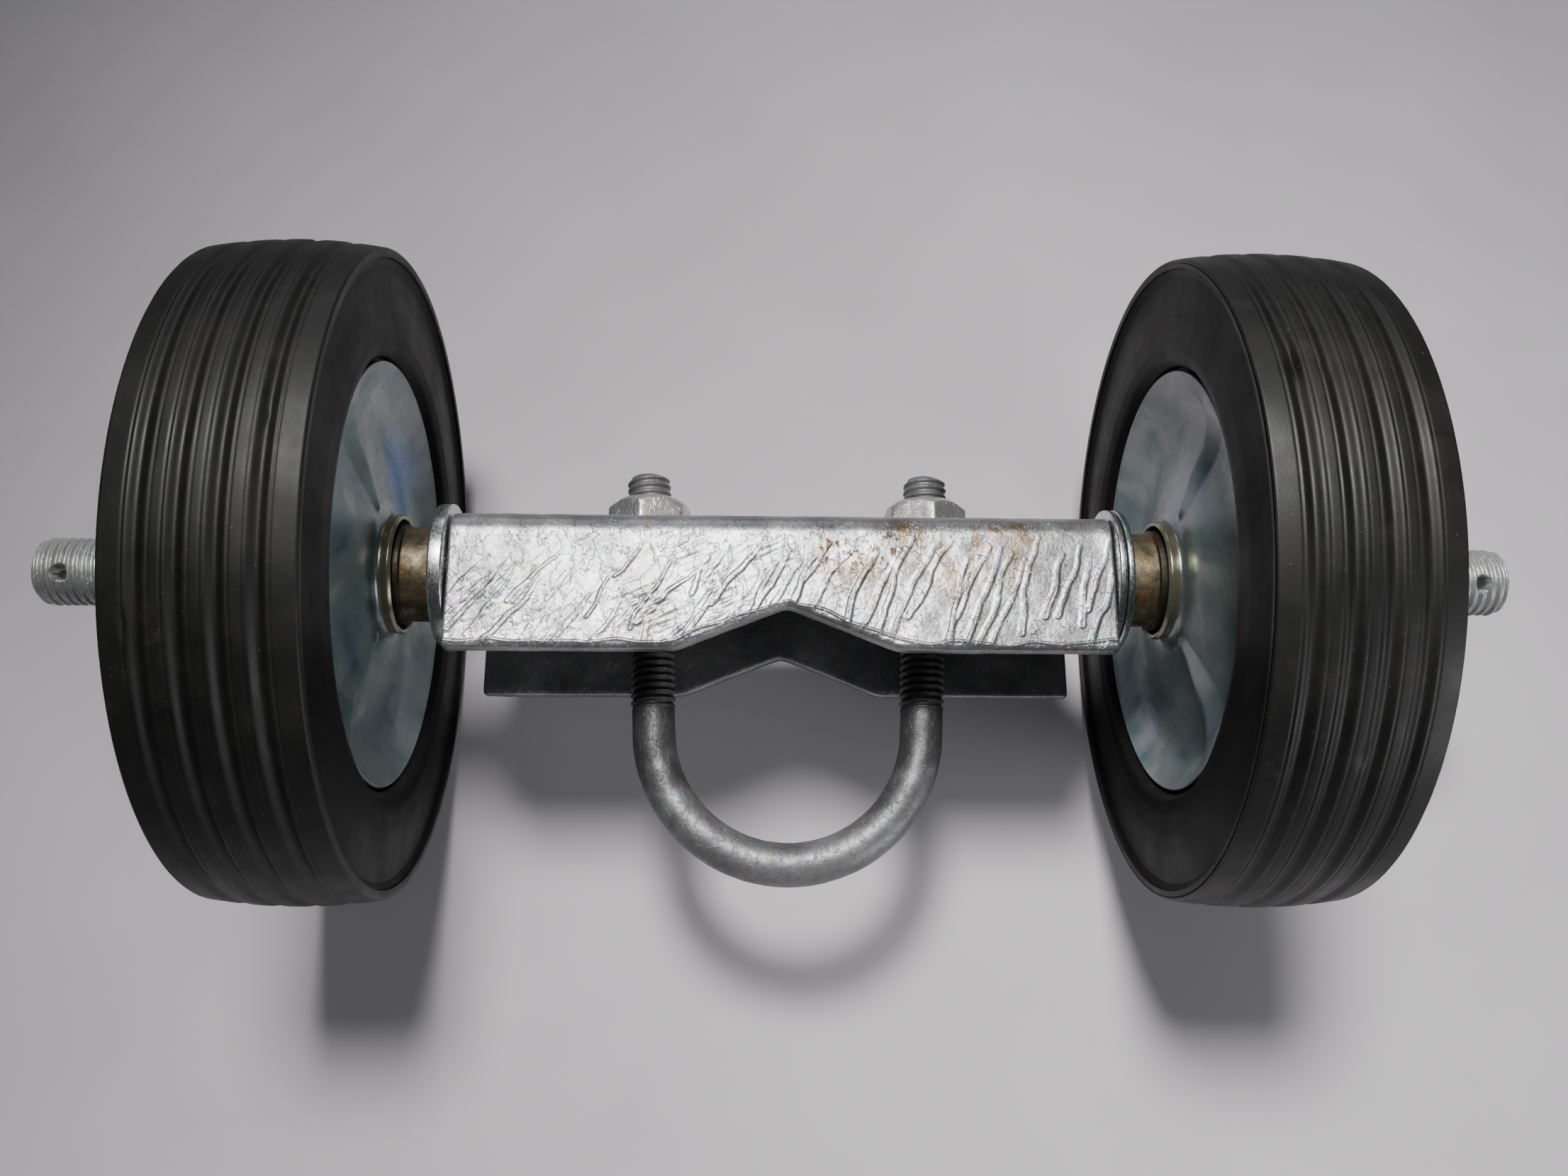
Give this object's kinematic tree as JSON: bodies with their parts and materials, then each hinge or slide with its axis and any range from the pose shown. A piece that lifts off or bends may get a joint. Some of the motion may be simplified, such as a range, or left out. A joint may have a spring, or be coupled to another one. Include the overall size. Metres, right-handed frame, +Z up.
{
  "type": "rolling gate wheel carrier",
  "caption": "Folded saddle channel with a U-bolt for a gate's frame pipe, carried on a fixed axle between solid rubber wheels on pressed steel discs.",
  "frame": {"origin": "on the ground, directly below the middle of the axle", "axes": "+X along the axle, +Z up, -Y the way the U-bolt points"},
  "size_m": [0.345, 0.1524, 0.1524],
  "materials": {
    "galvanised_steel": "hot-dip galvanised, with zinc runs",
    "dull_galvanised": "matte weathered zinc",
    "zinc_plated_steel": "bright zinc plate",
    "blue_zinc_plate": "blue-green zinc plate, satin",
    "yellow_zinc_plate": "yellow zinc plate with rust",
    "bush_bronze": "plain bearing bronze",
    "tyre_rubber": "moulded rubber, slightly dusty"
  },
  "bodies": {
    "carrier": {"saddle_channel": "galvanised_steel", "u_bolt": "dull_galvanised", "clamp_nut_left": "galvanised_steel", "clamp_nut_right": "galvanised_steel", "axle": "dull_galvanised", "axle_weld_left": "dull_galvanised", "axle_weld_right": "dull_galvanised", "inner_washer_left": "zinc_plated_steel", "inner_washer_right": "zinc_plated_steel", "spacer_washer_right": "zinc_plated_steel", "outer_washer_left": "zinc_plated_steel", "outer_washer_right": "zinc_plated_steel", "axle_nut_left": "zinc_plated_steel", "axle_nut_right": "zinc_plated_steel"},
    "wheel_left": {"tyre_left": "tyre_rubber", "inner_disc_left": "blue_zinc_plate", "outer_disc_left": "blue_zinc_plate", "hub_tube_left": "yellow_zinc_plate", "inner_bush_left": "bush_bronze", "outer_bush_left": "bush_bronze"},
    "wheel_right": {"tyre_right": "tyre_rubber", "inner_disc_right": "blue_zinc_plate", "outer_disc_right": "blue_zinc_plate", "hub_tube_right": "yellow_zinc_plate", "inner_bush_right": "bush_bronze", "outer_bush_right": "bush_bronze"}
  },
  "joints": [
    {"name": "wheel_left_spin", "type": "hinge", "parent": "carrier", "child": "wheel_left", "pos_m": [-0.107, 0, 0.0762], "axis": [1, 0, 0], "continuous": true},
    {"name": "wheel_right_spin", "type": "hinge", "parent": "carrier", "child": "wheel_right", "pos_m": [0.107, 0, 0.0762], "axis": [1, 0, 0], "continuous": true}
  ]
}
